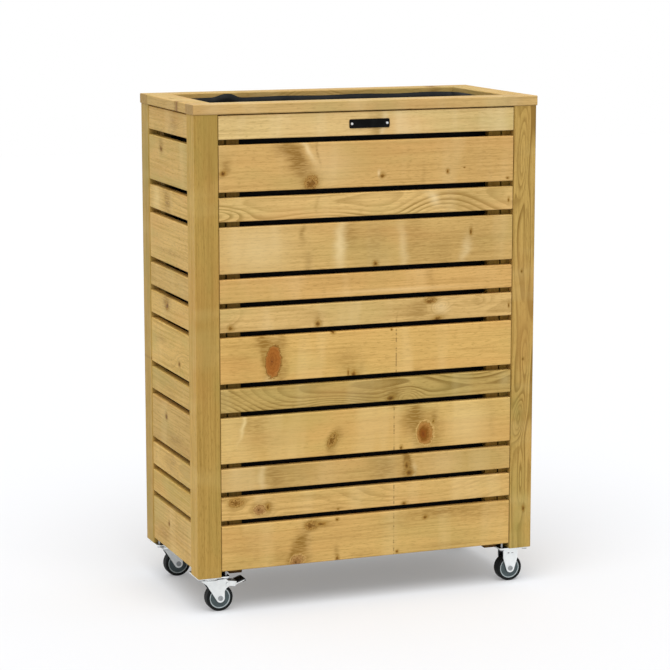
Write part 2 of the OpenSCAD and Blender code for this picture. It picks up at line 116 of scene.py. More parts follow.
def noiseAt(tree, place, factors, detail=2.0, roughness=0.5):
    return put(tree, "TexNoise", {"Vector": scaled(tree, place, factors), "Scale": 1.0, "Detail": detail,
                                  "Roughness": roughness}).outputs[0]


# Noise about nought, so many metres from end to end
def jitter(tree, place, factors, detail, size):
    return calc(tree, "MULTIPLY_ADD", noiseAt(tree, place, factors, detail), size, -size / 2)


def spread(tree, value, low, high, toLow=0.0, toHigh=1.0, smooth=True):
    kind = "SMOOTHSTEP" if smooth else "LINEAR"
    return put(tree, "MapRange", {0: value, 1: low, 2: high, 3: toLow, 4: toHigh},
               interpolation_type=kind).outputs[0]


def mixed(tree, factor, a, b, blend="MIX"):
    return put(tree, "Mix", {0: factor, 6: a, 7: b}, data_type="RGBA", blend_type=blend).outputs[2]


def bumped(tree, shader, height, distance, strength, **settings):
    bump = put(tree, "Bump", {"Height": height, "Distance": distance, "Strength": strength}, **settings)
    tree.links.new(bump.outputs[0], shader.inputs["Normal"])
    return bump


def emptyTree(owner):
    owner.use_nodes = True
    owner.node_tree.nodes.clear()
    return owner.node_tree


def newMaterial(name, **shaderValues):
    material = bpy.data.materials.new(name)
    tree = emptyTree(material)
    shader = put(tree, "BsdfPrincipled", {k.replace("_", " "): v for k, v in shaderValues.items()})
    put(tree, "OutputMaterial", {0: shader.outputs[0]})
    return material, tree, shader


def newObject(bm, name, material):
    mesh = bpy.data.meshes.new(name)
    bm.to_mesh(mesh)
    bm.free()
    mesh.materials.append(material)
    return link(bpy.data.objects.new(name, mesh))


def newPiece(bm, name, material, node):
    piece = newObject(bm, name, material)
    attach(piece, "box")
    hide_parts(node)
    return piece


def mm(*values):
    return Vector([v / 1000 for v in values])


# The lightest tint is a painted highlight: the glints and the sheen bands across the grain are painted in it
pine = {
    "early": (0.655, 0.425, 0.128, 1), "late": (0.31, 0.175, 0.034, 1), "green": (0.45, 0.345, 0.095, 1),
    "rosy": (0.6, 0.325, 0.092, 1), "paintedGlint": (0.8, 0.61, 0.27, 1), "haze": (0.285, 0.155, 0.026, 1),
    "crack": (0.1, 0.048, 0.012, 1),
}

# The growth rings: their width, how far the pith wanders and the rings wave, in metres, where in a year the dark
# line rises and drops, the weakest year's share, and the noise that makes the lines patchy
pineRings = {
    "width": 0.0042, "wander": 0.030, "wanderScale": (2.4, 1.0, 1.0), "wave": 0.0052, "waveScale": (11, 26, 26),
    "rise": (0.30, 0.88), "drop": (0.90, 1.0), "weakest": 0.35,
    "patches": (5, 22, 22), "patchy": (0.35, 0.68, 0.45, 1.15), "seedAlong": 3.7, "seedAcross": 1.9,
}
# Patterns in the order they are laid on: noise scale along, across and through the board, its detail and
# roughness, the range drawn, the tint and how strong; a board can give its own strength
pinePatterns = {
    "streak": {"scale": (5.0, 210, 210), "detail": 4, "rough": 0.62, "range": (0.40, 0.72), "tint": "late",
               "strength": 0.39},
    "dash": {"scale": (70, 430, 430), "detail": 3, "rough": 0.65, "range": (0.50, 0.68), "tint": "late",
             "strength": 0.42},
    "fibre": {"scale": (60, 950, 950), "detail": 3, "rough": 0.6, "range": (0.50, 0.78), "tint": "late",
              "strength": 0.16},
    "rosy": {"scale": (3.0, 14, 14), "detail": 2, "rough": 0.5, "range": (0.48, 0.72), "tint": "rosy",
             "strength": 0.45},
    "green": {"scale": (5.5, 12, -12), "detail": 3, "rough": 0.5, "range": (0.47, 0.70), "tint": "green",
              "strength": 0.50},
    # Bands across the grain in the lightest tint: a painted chatoyance sheen, painted highlight
    "paintedGlint": {"scale": (16, 3.5, 9), "detail": 3, "rough": 0.45, "range": (0.50, 0.72), "tint": "paintedGlint",
             "strength": 0.22},
}
# Stains are hatched along the grain, the painted glints aren't; a joint is a seam of fingers; a knot's edge is
# ragged
pineMarks = {
    "wobble": 0.026, "wobbleScale": (16, 34, 34),
    "hatch": (48, 400, 400), "hatchRange": (0.42, 0.58), "hazeHatch": (0.55, 0.50), "stainHatch": (0.5, 0.6),
    "seam": (0.0006, 0.0019), "fingers": (1, 210, 1), "fingerRange": (0.50, 0.56), "seamDark": (0.44, 0.08),
    "coarse": 150, "fine": 420, "ragged": 0.62, "stainReach": (0.9, 2.3), "bandReach": 1.6, "ringPush": 0.16,
}
pineSurface = {
    "gloss": 0.16, "cutDark": 0.45, "warming": (0.0, -0.02, -0.30), "streakRough": 0.16, "rough": 0.56,
    "lineHeight": 0.5, "streakHeight": 0.8, "bumpDeep": 0.0002, "bump": 0.45,
}

# Knots: bands of colour from the heart (0) past the edge (1), where the edge fades, the stain round it, how rough
# its bands are and where its heart leans
knotKinds = {
    "red": {"bands": ((0.0, (0.05, 0.016, 0.001)), (0.1, (0.3, 0.1, 0.012)), (0.24, (0.23, 0.07, 0.006)),
                      (0.38, (0.33, 0.118, 0.014)), (0.52, (0.26, 0.082, 0.008)), (0.68, (0.35, 0.125, 0.016)),
                      (0.84, (0.28, 0.092, 0.01)), (0.96, (0.4, 0.165, 0.03)), (1.04, (0.17, 0.075, 0.008)),
                      (1.2, (0.34, 0.18, 0.03))),
            "fade": (1.0, 1.3), "stain": 0.55, "rough": 0.7, "lean": (0.22, -0.08)},
    "ringed": {"bands": ((0.0, (0.16, 0.04, 0.001)), (0.3, (0.24, 0.068, 0.003)), (0.5, (0.21, 0.075, 0.004)),
                         (0.66, (0.33, 0.14, 0.022)), (0.8, (0.43, 0.2, 0.045)), (0.9, (0.3, 0.15, 0.022)),
                         (0.98, (0.64, 0.4, 0.13)), (1.08, (0.42, 0.25, 0.06))),
               "fade": (1.04, 1.2), "stain": 0.55, "rough": 0.7, "lean": (0.34, 0.1)},
    "brown": {"bands": ((0.0, (0.07, 0.03, 0.004)), (0.16, (0.21, 0.095, 0.018)), (0.36, (0.34, 0.175, 0.048)),
                        (0.52, (0.25, 0.12, 0.028)), (0.74, (0.45, 0.255, 0.075)), (0.9, (0.23, 0.115, 0.02)),
                        (1.02, (0.56, 0.35, 0.11)), (1.2, (0.44, 0.26, 0.06))),
              "fade": (1.0, 1.25), "stain": 0.6, "rough": 1.3, "lean": (0.3, 0.15)},
    "dark": {"bands": ((0.0, (0.12, 0.05, 0.004)), (0.4, (0.2, 0.092, 0.01)), (0.75, (0.33, 0.175, 0.028)),
                       (1.1, (0.44, 0.26, 0.055))),
             "fade": (0.6, 1.55), "stain": 0.6, "rough": 1.5, "lean": (0.15, 0.15)},
    "swirl": {"bands": ((0.0, (0.13, 0.05, 0.004)), (0.3, (0.27, 0.125, 0.014)), (0.5, (0.13, 0.055, 0.005)),
                        (0.72, (0.44, 0.25, 0.055)), (0.95, (0.36, 0.19, 0.036)), (1.08, (0.18, 0.085, 0.01)),
                        (1.2, (0.42, 0.25, 0.055))),
              "fade": (1.0, 1.6), "stain": 0.6, "rough": 2.8, "lean": (0.25, 0.2)},
}
# Knots that come by chance: cells to the metre along and across, how rare, and the largest half size
strayKnots = [
    {"kind": "dark", "cells": (4.6, 9.5), "rare": 0.62, "size": 0.0055, "offset": 4.95},
    {"kind": "red", "cells": (2.1, 6.0), "rare": 0.72, "size": 0.013, "offset": 11.7},
]
strayShape = {"layer": 0.5, "scatter": 0.85, "long": 1.25, "smallest": 0.0002}


# Distance from a mark's middle, 1 at its edge, and the place in the mark's own frame. A mark starts with its
# place along and across the board, its half length and half height in millimetres and its tilt in degrees.
def blobDistance(tree, grain, blob):
    along, across, halfAlong, halfAcross, tilt = blob[:5]
    sockets = {"Vector": grain, "Location": mm(along, across, 0), "Rotation": (0, 0, math.radians(tilt)),
               "Scale": (halfAlong / 1000, halfAcross / 1000, 1000)}
    local = put(tree, "Mapping", sockets, vector_type="TEXTURE").outputs[0]
    return measured(tree, local), local


# The same distance with its heart off the middle and its edge where it was
def leaning(tree, distance, local, lean):
    shift = put(tree, "VectorMath", {0: (*lean, 0), "Scale": calc(tree, "SUBTRACT", 1.0, distance)},
                operation="SCALE").outputs[0]
    return measured(tree, moved(tree, local, shift))


def bell(tree, distance, sharpness=1.0):
    return calc(tree, "EXPONENT", times(tree, times(tree, distance, distance), -sharpness))


# Where the knots are: the nearest of each kind, and how far they push the growth rings aside
def knotField(tree, grain, seeded, knots, scattered):
    nearest, push = {}, 0.0
    for knot in knots:
        distance, local = blobDistance(tree, grain, knot)
        kind = knot[5]
        aside = times(tree, split(tree, local)[1], knot[3] / 1000)
        push = plus(tree, times(tree, aside, bell(tree, distance, pineMarks["ringPush"])), push)
        nearest.setdefault(kind, []).append(leaning(tree, distance, local, knotKinds[kind]["lean"]))
    for stray in strayKnots if scattered else []:
        cellsAlong, cellsAcross = stray["cells"]
        flat = moved(tree, scaled(tree, seeded, (cellsAlong, cellsAcross, strayShape["layer"])),
                     (stray["offset"], 0, 0))
        sockets = {"Vector": flat, "Scale": 1.0, "Randomness": strayShape["scatter"]}
        cells = put(tree, "TexVoronoi", sockets, voronoi_dimensions="2D").outputs
        away = put(tree, "VectorMath", {0: flat, 1: cells["Position"]}, operation="SUBTRACT").outputs[0]
        away = split(tree, away)
        chance = put(tree, "SeparateColor", {0: cells["Color"]}).outputs
        size = spread(tree, chance[0], stray["rare"], 1.0, strayShape["smallest"], stray["size"], smooth=False)
        x = calc(tree, "DIVIDE", away[0], cellsAlong * strayShape["long"])
        y = calc(tree, "DIVIDE", away[1], cellsAcross)
        distance = calc(tree, "DIVIDE", hypotenuse(tree, x, y), size)
        push = plus(tree, times(tree, y, bell(tree, distance, pineMarks["ringPush"])), push)
        nearest.setdefault(stray["kind"], []).append(distance)
    for kind, distances in nearest.items():
        least = distances[0]
        for other in distances[1:]:
            least = calc(tree, "MINIMUM", least, other)
        nearest[kind] = least
    return nearest, push


# Solid pine: the growth rings of a log cut by the board, from the board's grain, board and tone attributes.
# Swells add rings, hazes are stains or, below nought, painted glints (painted highlights), and joints are comb
# joints across the board.
def woodMaterial(name, marks=None, scattered=False):
    marks = marks or {}
    material, tree, shader = newMaterial(name, Specular_IOR_Level=pineSurface["gloss"])
    grain = attribute(tree, "grain")
    seed, pithAcross, pithDepth = split(tree, attribute(tree, "board"))
    value, warmth, ringTone = split(tree, attribute(tree, "tone"))
    seedAlong, seedAcross = times(tree, seed, pineRings["seedAlong"]), times(tree, seed, pineRings["seedAcross"])
    seeded = moved(tree, grain, put(tree, "CombineXYZ", {0: seedAlong, 1: seedAcross, 2: seed}).outputs[0])
    along, acrossBoard, depth = split(tree, grain)
    nearest, push = knotField(tree, grain, seeded, marks.get("knots", ()), scattered)

    # Growth rings: distance from the pith, which wanders along the board
    wander = jitter(tree, seeded, pineRings["wanderScale"], 1, pineRings["wander"])
    wave = jitter(tree, seeded, pineRings["waveScale"], 2, pineRings["wave"])
    across = plus(tree, calc(tree, "SUBTRACT", acrossBoard, pithAcross), wave)
    across = calc(tree, "SUBTRACT", across, push)
    deep = plus(tree, plus(tree, pithDepth, depth), wander)
    phase = times(tree, hypotenuse(tree, across, deep), 1 / pineRings["width"])
    for swell in marks.get("swells", ()):
        phase = plus(tree, phase, times(tree, bell(tree, blobDistance(tree, grain, swell)[0]), swell[5]))
    ringNumber = plus(tree, calc(tree, "FLOOR", phase), seed)
    year = put(tree, "TexWhiteNoise", {"W": ringNumber}, noise_dimensions="1D").outputs[0]
    within = calc(tree, "FRACT", phase)
    line = times(tree, spread(tree, within, *pineRings["rise"]),
                 spread(tree, within, *pineRings["drop"], 1.0, 0.0))
    line = times(tree, line, spread(tree, year, 0.0, 1.0, pineRings["weakest"], 1.0, smooth=False))
    patchy = spread(tree, noiseAt(tree, seeded, pineRings["patches"], 2), *pineRings["patchy"])
    rings = times(tree, times(tree, line, patchy), ringTone)

    colour = mixed(tree, rings, pine["early"], pine["late"])
    drawn = {}
    for kind, pattern in pinePatterns.items():
        blotches = noiseAt(tree, seeded, pattern["scale"], pattern["detail"], pattern["rough"])
        drawn[kind] = spread(tree, blotches, *pattern["range"])
        amount = times(tree, drawn[kind], marks.get(kind, pattern["strength"]))
        colour = mixed(tree, amount, colour, pine[pattern["tint"]])

    hatch = spread(tree, noiseAt(tree, seeded, pineMarks["hatch"], 2), *pineMarks["hatchRange"])
    wobble = jitter(tree, seeded, pineMarks["wobbleScale"], 3, pineMarks["wobble"])
    wavy = moved(tree, grain, put(tree, "CombineXYZ", {0: wobble}).outputs[0])
    # Hazes above nought are stains; below nought they are painted glints, painted highlights in the lightest tint
    for haze in marks.get("hazes", ()):
        soft = bell(tree, blobDistance(tree, wavy, haze)[0])
        amount = times(tree, soft, abs(haze[5]))
        if haze[5] > 0:
            amount = times(tree, amount, calc(tree, "MULTIPLY_ADD", hatch, *pineMarks["hazeHatch"]))
        colour = mixed(tree, amount, colour, pine["haze" if haze[5] > 0 else "paintedGlint"])

    for joint in marks.get("joints", ()):
        offset = calc(tree, "ABSOLUTE", calc(tree, "SUBTRACT", along, joint / 1000))
        fingers = spread(tree, noiseAt(tree, seeded, pineMarks["fingers"]), *pineMarks["fingerRange"])
        seam = times(tree, spread(tree, offset, *pineMarks["seam"], 1.0, 0.0),
                     calc(tree, "MULTIPLY_ADD", fingers, *pineMarks["seamDark"]))
        colour = mixed(tree, seam, colour, pine["crack"])

    coarse = noiseAt(tree, seeded, (pineMarks["coarse"],) * 3, 3)
    fine = noiseAt(tree, seeded, (pineMarks["fine"],) * 3, 3, 0.6)
    ragged = calc(tree, "MULTIPLY_ADD", plus(tree, coarse, fine), pineMarks["ragged"], -pineMarks["ragged"])
    for kind, distance in nearest.items():
        look = knotKinds[kind]
        tornDistance = plus(tree, distance, ragged)
        stain = times(tree, spread(tree, tornDistance, *pineMarks["stainReach"], 1.0, 0.0), look["stain"])
        stain = times(tree, stain, calc(tree, "MULTIPLY_ADD", hatch, *pineMarks["stainHatch"]))
        colour = mixed(tree, stain, colour, pine["haze"])
        reach = calc(tree, "MULTIPLY_ADD", ragged, look["rough"], distance)
        bands = put(tree, "ValToRGB", {0: times(tree, reach, 1 / pineMarks["bandReach"])})
        elements = bands.color_ramp.elements
        elements[0].color = look["bands"][0][1] + (1,)
        elements[1].color = look["bands"][-1][1] + (1,)
        for place, tint in look["bands"][1:]:
            elements.new(place / pineMarks["bandReach"]).color = tint + (1,)
        colour = mixed(tree, spread(tree, tornDistance, *look["fade"], 1.0, 0.0), colour, bands.outputs[0])

    cut = attribute(tree, "endGrain", "Fac")
    colour = mixed(tree, times(tree, cut, pineSurface["cutDark"]), colour, pine["haze"])
    warmths = put(tree, "CombineXYZ", {0: warmth, 1: warmth, 2: warmth}).outputs[0]
    tint = put(tree, "VectorMath", {0: warmths, 1: pineSurface["warming"], 2: (marks.get("red", 1.0), 1, 1)},
               operation="MULTIPLY_ADD").outputs[0]
    colour = mixed(tree, 1.0, colour, tint, "MULTIPLY")
    colour = put(tree, "VectorMath", {0: colour, "Scale": value}, operation="SCALE").outputs[0]
    tree.links.new(colour, shader.inputs["Base Color"])
    roughness = calc(tree, "MULTIPLY_ADD", drawn["streak"], pineSurface["streakRough"], pineSurface["rough"])
    tree.links.new(roughness, shader.inputs["Roughness"])
    height = plus(tree, drawn["fibre"], times(tree, drawn["streak"], pineSurface["streakHeight"]))
    height = plus(tree, times(tree, line, pineSurface["lineHeight"]), height)
    bumped(tree, shader, height, pineSurface["bumpDeep"], pineSurface["bump"], invert=True)
    return material


def boardMesh():
    bm = bmesh.new()
    for name in ("grain", "board", "tone"):
        bm.verts.layers.float_vector.new(name)
    bm.verts.layers.float.new("endGrain")
    return bm


# How far a board's long edges and its ends are eased, in metres, and what counts as the same place
eased = {"seen": 0.002, "hidden": 0.0012, "end": 0.0006, "segments": 3}
tiny = 1e-5


# One board from corner to corner with eased edges; axes are those along, across and through it
def addBoard(bm, low, high, axes, look, edge=eased["seen"], outward=1):
    layers = bm.verts.layers
    grain, board, tone = [layers.float_vector[n] for n in ("grain", "board", "tone")]
    endGrain = layers.float["endGrain"]
    old = set(bm.verts)
    low, high = Vector(low), Vector(high)
    middle, size = (low + high) / 2, high - low
    along, across, depth = axes
    cube = bmesh.ops.create_cube(bm, size=1, matrix=Matrix.Translation(middle) @ Matrix.Diagonal((*size, 1)))
    long = [e for e in {e for v in cube["verts"] for e in v.link_edges}
            if abs((e.verts[0].co - e.verts[1].co)[along]) > size[along] * 0.5]
    bevel = {"offset_type": "OFFSET", "profile": 0.5, "affect": "EDGES", "material": -1}
    bmesh.ops.bevel(bm, geom=long, offset=edge, segments=eased["segments"], **bevel)
    mine = [v for v in bm.verts if v not in old]
    rim = set()
    for v in mine:
        for e in v.link_edges:
            if all(abs(w.co[along] - v.co[along]) < tiny for w in e.verts):
                rim.add(e)
    bmesh.ops.bevel(bm, geom=list(rim), offset=min(eased["end"], edge / 2), segments=1, **bevel)
    mine = [v for v in bm.verts if v not in old]
    face = high[depth] if outward > 0 else low[depth]
    for v in mine:
        v[grain] = (v.co[along] - middle[along] + look.get("shift", 0.0), v.co[across] - middle[across],
                    abs(face - v.co[depth]))
        v[board] = (look["seed"], look["pith"][0], look["pith"][1])
        v[tone] = (look["tone"], look["warm"], look["ring"])
        v[endGrain] = 1.0 if abs(v.co[along] - middle[along]) > size[along] / 2 - tiny else 0.0
    return mine


luck = random.Random(7)


def boardLook(**fixed):
    look = {"seed": luck.uniform(1, 30), "pith": (luck.uniform(-0.05, 0.05), luck.uniform(0.02, 0.09)),
            "tone": luck.uniform(0.90, 1.02), "warm": luck.uniform(-0.2, 0.3), "ring": luck.uniform(0.12, 0.50)}
    look.update(fixed)
    return look


# Front slats from the top: tones, knots (a mark's five numbers and the kind), hazes (the five and how strong),
# swells (the five and how many rings) and comb joints (along)
frontGreen = 0.34
frontSlats = [
    {"tone": 1.26, "warm": -1.42, "red": 0.93, "seed": 2.1, "ring": 0.12,
     "hazes": [(18, -6, 12, 32, -12, 0.7), (2, 8, 8, 24, 0, 0.3), (30, 0, 5, 26, -12, -0.35),
               (-275, 0, 30, 14, 0, 0.1), (225, 0, 60, 60, 0, 0.22)]},
    {"tone": 0.99, "warm": -0.42, "red": 1.05, "seed": 5.3, "ring": 0.16,
     "knots": [(-119, -32, 12, 11, 25, "swirl"), (-293, -8, 7, 5, 25, "dark"), (27, -24, 5, 4, 30, "dark"),
               (163, -20, 3, 4, 0, "dark"), (198, -14, 2, 1.2, 0, "dark"), (290, -38, 3, 2, 0, "dark")],
     "hazes": [(-149, 16, 16, 44, 28, 1.35), (-172, 34, 24, 14, 10, 0.6), (-104, 24, 3, 26, 5, 0.6),
               (-124, 30, 6, 22, 24, -0.8), (-286, 8, 9, 14, 20, 0.6), (110, -24, 5, 20, -6, 0.35),
               (85, -10, 50, 30, 0, 0.14), (20, -20, 3, 7, 0, -0.8), (-78, -4, 44, 40, 0, -0.3),
               (220, 0, 70, 50, 0, 0.2)]},
    {"tone": 1.16, "warm": -0.82, "red": 0.99, "seed": 8.2, "ring": 1.1, "pith": (0.004, 0.095),
     "knots": [(293, -4, 2, 4, 0, "dark")],
     "hazes": [(133, 6, 10, 16, 40, -0.6), (-105, 4, 4, 16, 0, 0.4), (-60, 22, 60, 5, 0, 0.25),
               (210, 0, 60, 40, 0, 0.4)],
     "swells": [(-318, -10, 66, 14, 0, 3.6), (148, -32, 84, 48, 0, 6), (-90, -30, 110, 24, 0, 3),
                (-110, 30, 90, 12, 0, 2)]},
    {"tone": 1.01, "warm": -0.46, "red": 1.01, "seed": 11.7, "ring": 0.1,
     "knots": [(213, 15, 3, 7, 0, "dark"), (13, -38, 5, 5, 30, "dark")],
     "hazes": [(-58, 5, 11, 50, -6, -0.84), (-38, 22, 16, 34, 0, 0.56), (10, 10, 34, 60, 0, 0.39),
               (95, 0, 30, 60, 0, 0.48), (70, -10, 9, 50, 4, -0.42), (203, -18, 9, 26, -10, -0.7),
               (-136, 26, 5, 18, 0, 0.7), (150, -20, 26, 36, 0, 0.42), (-125, -30, 8, 22, 0, 0.49),
               (-225, 0, 60, 50, 0, -0.45), (225, 0, 60, 60, 0, 0.36)]},
    {"tone": 0.99, "warm": -0.28, "red": 1.08, "seed": 14.9, "ring": 0.16,
     "hazes": [(128, 8, 10, 24, 10, 0.35), (-150, 14, 130, 4, 0, 0.22), (-60, 4, 100, 3, 0, 0.22),
               (60, -14, 120, 4, 0, -0.4)]},
    {"tone": 1.08, "warm": -0.79, "red": 1.0, "seed": 17.3, "ring": 0.7, "pith": (0.0, 0.09),
     "knots": [(-281, -14, 5, 5, 0, "dark"), (-105, -15, 6, 6, 0, "dark"), (128, 16, 11, 5, 5, "swirl"),
               (143, -20, 10, 5, 15, "dark"), (296, -2, 2, 5, 0, "dark")],
     "hazes": [(104, -2, 26, 30, 0, 0.6), (150, 2, 13, 14, 30, -0.4), (-108, -4, 6, 10, 30, 0.5),
               (60, -20, 2, 16, 0, 0.5), (230, 10, 8, 14, 0, 0.3)],
     "swells": [(-292, 8, 24, 12, 0, 3), (150, 4, 18, 11, 20, 4), (215, 10, 44, 14, 0, 3)]},
    {"tone": 1.08, "warm": -0.1, "red": 1.03, "seed": 20.1, "ring": 0.14,
     "knots": [(-196, -6, 15, 29, -4, "red"), (-31, -41, 6, 7, 0, "dark"), (-43, -38, 2, 6, 0, "dark"),
               (47, 41, 2, 2, 0, "dark"), (-74, 44, 4, 4, 0, "dark")],
     "hazes": [(-214, 30, 15, 34, 20, 1.1), (-180, 34, 12, 18, -20, 0.7), (-216, -2, 5, 26, 10, 0.6),
               (-181, -34, 10, 26, -14, 0.5), (-206, -44, 8, 9, 0, -0.9), (-44, -22, 20, 26, 0, 0.45),
               (-14, -30, 7, 20, -20, 0.35), (126, 0, 40, 40, 0, 0.14), (104, -40, 9, 4, 0, 0.5),
               (-262, 0, 36, 60, 0, 0.3)],
     "joints": [57]},
    {"tone": 0.87, "warm": -0.05, "red": 0.96, "seed": 23.8, "ring": 1.45, "pith": (0.014, 0.05),
     "knots": [(46, -16, 9, 6, 15, "dark")],
     "hazes": [(52, -4, 16, 14, 0, 0.6), (0, -8, 34, 22, 0, 0.35), (230, 6, 40, 20, 0, 0.2),
               (285, 4, 12, 14, 0, -0.3)],
     "swells": [(-330, -12, 105, 60, 0, 9), (80, -16, 28, 16, 0, 4), (215, 30, 100, 26, 0, 4),
                (-75, -24, 70, 18, 0, 3)]},
    {"tone": 1.06, "warm": -0.15, "red": 0.99, "seed": 26.4, "ring": 0.15,
     "knots": [(119, -14, 19, 25, 4, "ringed"), (-76, -14, 8, 14, -26, "swirl"), (68, -40, 3, 4, 0, "dark"),
               (136, 8, 2, 4, -20, "dark")],
     "hazes": [(96, 22, 20, 32, 18, 1.2), (84, 6, 18, 20, 0, 0.6), (138, 18, 8, 16, 0, 0.6),
               (-235, 26, 34, 28, 0, 0.5), (-258, 30, 4, 30, -12, -0.7), (-80, -40, 12, 12, 0, 0.5),
               (-60, -4, 12, 18, -26, 0.3), (255, 20, 24, 30, 0, 0.2), (260, -8, 6, 40, 0, 0.2),
               (52, 42, 5, 4, 0, 0.5), (210, -4, 44, 60, 0, -0.36), (-210, -10, 44, 40, 0, 0.2)],
     "swells": [(160, -12, 34, 12, 0, 3)],
     "joints": [53]},
    {"tone": 0.93, "warm": -0.34, "red": 1.02, "seed": 29.0, "ring": 0.1,
     "knots": [(86, -14, 9, 7, 0, "dark"), (80, 2, 5, 8, 0, "dark")],
     "hazes": [(80, 8, 9, 26, 0, 1.62), (-219, 0, 7, 34, 0, -0.62), (-264, 0, 44, 50, 0, -0.28),
               (-194, 0, 20, 40, 0, 0.62), (30, 0, 30, 30, 0, 0.56), (96, -14, 5, 16, 0, -0.75),
               (-150, 0, 40, 40, 0, 0.25), (160, 0, 30, 30, 0, -0.25)]},
    {"tone": 1.06, "warm": -0.41, "red": 1.02, "seed": 32.6, "ring": 0.45, "pith": (0.03, 0.052),
     "knots": [(-273, 12, 13, 8, 0, "swirl"), (-224, -6, 13, 10, 0, "brown"), (75, -19, 5, 3, 0, "dark"),
               (-208, -2, 4, 6, 0, "dark"), (-64, -18, 2, 2, 0, "dark")],
     "hazes": [(-205, -2, 8, 11, 0, 0.6), (-284, 2, 10, 12, 0, 0.35), (-64, -16, 16, 4, 0, 0.5),
               (-100, 12, 110, 3, -2, 0.3)],
     "swells": [(-90, 16, 150, 26, 4, 2.5), (312, 2, 94, 26, 0, 3)],
     "joints": [53]},
    {"tone": 1.03, "warm": -0.23, "red": 1.02, "seed": 35.2, "ring": 0.2,
     "knots": [(-120, 31, 12, 8, 0, "swirl"), (-98, 32, 10, 4, 0, "dark"), (-149, -37, 15, 12, 15, "brown"),
               (120, 26, 5, 4, 20, "dark"), (-66, 38, 3, 3, 0, "dark"), (-66, -40, 3, 5, 0, "dark"),
               (60, -38, 3, 3, 0, "dark")],
     "hazes": [(-140, -4, 14, 26, -24, 1.4), (-158, -28, 7, 20, -14, 1.4), (-182, -30, 14, 26, 0, 0.4),
               (-66, -28, 5, 16, 0, 0.55), (-90, 30, 30, 5, 0, 0.45), (-146, -40, 22, 10, 0, 0.5),
               (160, 36, 90, 10, 0, 0.8), (230, 22, 60, 14, 0, 0.4), (-10, -36, 30, 7, 0, 0.35),
               (160, -34, 60, 8, 0, 0.35), (-245, 0, 44, 50, 0, 0.24), (-60, 2, 120, 5, -2, 0.3),
               (60, 20, 80, 4, 2, 0.4)],
     "swells": [(130, 0, 90, 20, 0, 2)],
     "joints": [53]},
]

for number, slat in enumerate(frontSlats, 1):
    bm = boardMesh()
    look = boardLook(**{k: slat[k] for k in ("tone", "warm", "seed", "ring", "pith") if k in slat})
    addBoard(bm, *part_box(f"front_slat_{number}"), (0, 2, 1), look, outward=-1)
    material = woodMaterial(f"slatPine{number}", {**slat, "green": frontGreen})
    newPiece(bm, f"frontSlat{number}", material, f"front_slat_{number}")
print("front slats done")

frontBoxes = [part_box(f"front_slat_{n}") for n in range(1, 13)]
rows = [(low.z, high.z) for low, high in frontBoxes]

low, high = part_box("back_slats")
bm = boardMesh()
for bottom, top in rows:
    addBoard(bm, (low.x, low.y, bottom), (high.x, high.y, top), (0, 2, 1), boardLook())
newPiece(bm, "backSlats", woodMaterial("slatPine", scattered=True), "back_slats")

# The side slats share one wood: each row's grain starts a metre further on, the right side's beyond them all.
# The left side's knots, hazes and swells are given as the row from the top, then the mark.
sideSlats = {
    "depth": 0.016, "tone": (0.98, 1.12), "beyond": 20.5,
    "knots": [(2, (44, 22, 8, 6, 20, "dark")), (6, (17, 6, 10, 7, 0, "swirl")), (7, (-60, -20, 6, 5, 0, "dark")),
              (9, (30, 14, 7, 6, 0, "dark")), (12, (20, 10, 5, 5, 0, "dark"))],
    "hazes": [(1, (-40, 0, 30, 26, 20, 0.5)), (2, (44, 30, 16, 14, 20, 0.6)), (3, (7, 0, 22, 30, 0, 0.8)),
              (3, (80, 0, 26, 30, 0, -0.5)), (4, (-20, -20, 90, 6, 0, 0.5)), (6, (20, 16, 30, 22, 0, 0.8)),
              (7, (60, 10, 50, 8, 0, 0.5)), (9, (-30, -20, 60, 12, 0, 0.5)), (10, (-10, 6, 30, 20, 0, 0.5)),
              (12, (60, -16, 50, 20, 0, 0.5)), (12, (-50, 10, 40, 14, 0, 0.35))],
    "swells": [(6, (10, 4, 40, 20, 10, 4)), (7, (-100, -22, 50, 24, 0, 5)), (1, (-40, 0, 50, 20, 0, 3))],
}


def onRows(marks):
    return [(row * 1000 + mark[0], *mark[1:]) for row, mark in marks]


low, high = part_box("side_slats")
deep = sideSlats["depth"]
bm = boardMesh()
for row, (bottom, top) in enumerate(rows, 1):
    for x, outward, beyond in ((low.x, -1, 0.0), (high.x - deep, 1, sideSlats["beyond"])):
        look = boardLook(tone=luck.uniform(*sideSlats["tone"]), shift=row + beyond)
        addBoard(bm, (x, low.y, bottom), (x + deep, high.y, top), (1, 2, 0), look, outward=outward)
sideWood = woodMaterial("sidePine", {kind: onRows(sideSlats[kind]) for kind in ("knots", "hazes", "swells")})
newPiece(bm, "sideSlats", sideWood, "side_slats")

# Posts: a factor makes the left face lighter, painted light for the light that falls on that side
posts = {
    "frontLeft": {"node": "post_front_left", "outward": -1, "paintedLeftLight": 1.32, "green": 0.45, "red": 1.03,
                  "look": {"tone": 0.715, "warm": 0.75, "ring": 0.25, "seed": 4.4, "pith": (-0.045, 0.03)},
                  "hazes": [(340, 8, 40, 6, 0, 0.3), (-120, -6, 120, 4, 0, 0.2), (120, 10, 160, 3, 0, 0.2)]},
    "frontRight": {"node": "post_front_right", "outward": -1, "green": 0.85,
                   "look": {"tone": 0.84, "warm": 0.36, "ring": 1.9, "seed": 9.1, "pith": (0.012, 0.06)},
                   "knots": [(-58, 1, 2.5, 2, 0, "dark"), (-362, 6, 6, 3, 0, "dark"), (118, -4, 3, 2, 0, "dark")],
                   "swells": [(345, -4, 85, 10, 3, 4), (190, 8, 90, 8, 0, 3), (-175, -6, 46, 12, 8, 5),
                              (-60, 6, 60, 9, 0, 3), (-300, 0, 70, 8, 0, 3)],
                   "hazes": [(-175, -4, 30, 10, 0, 0.35), (-250, -12, 20, 6, 0, 0.3), (60, 10, 90, 5, 0, 0.3)]},
    "backLeft": {"node": "post_back_left", "outward": 1, "look": {"tone": 0.8, "warm": 0.5, "ring": 0.35}},
    "backRight": {"node": "post_back_right", "outward": 1, "look": {"tone": 0.82, "warm": 0.5, "ring": 0.45}},
}
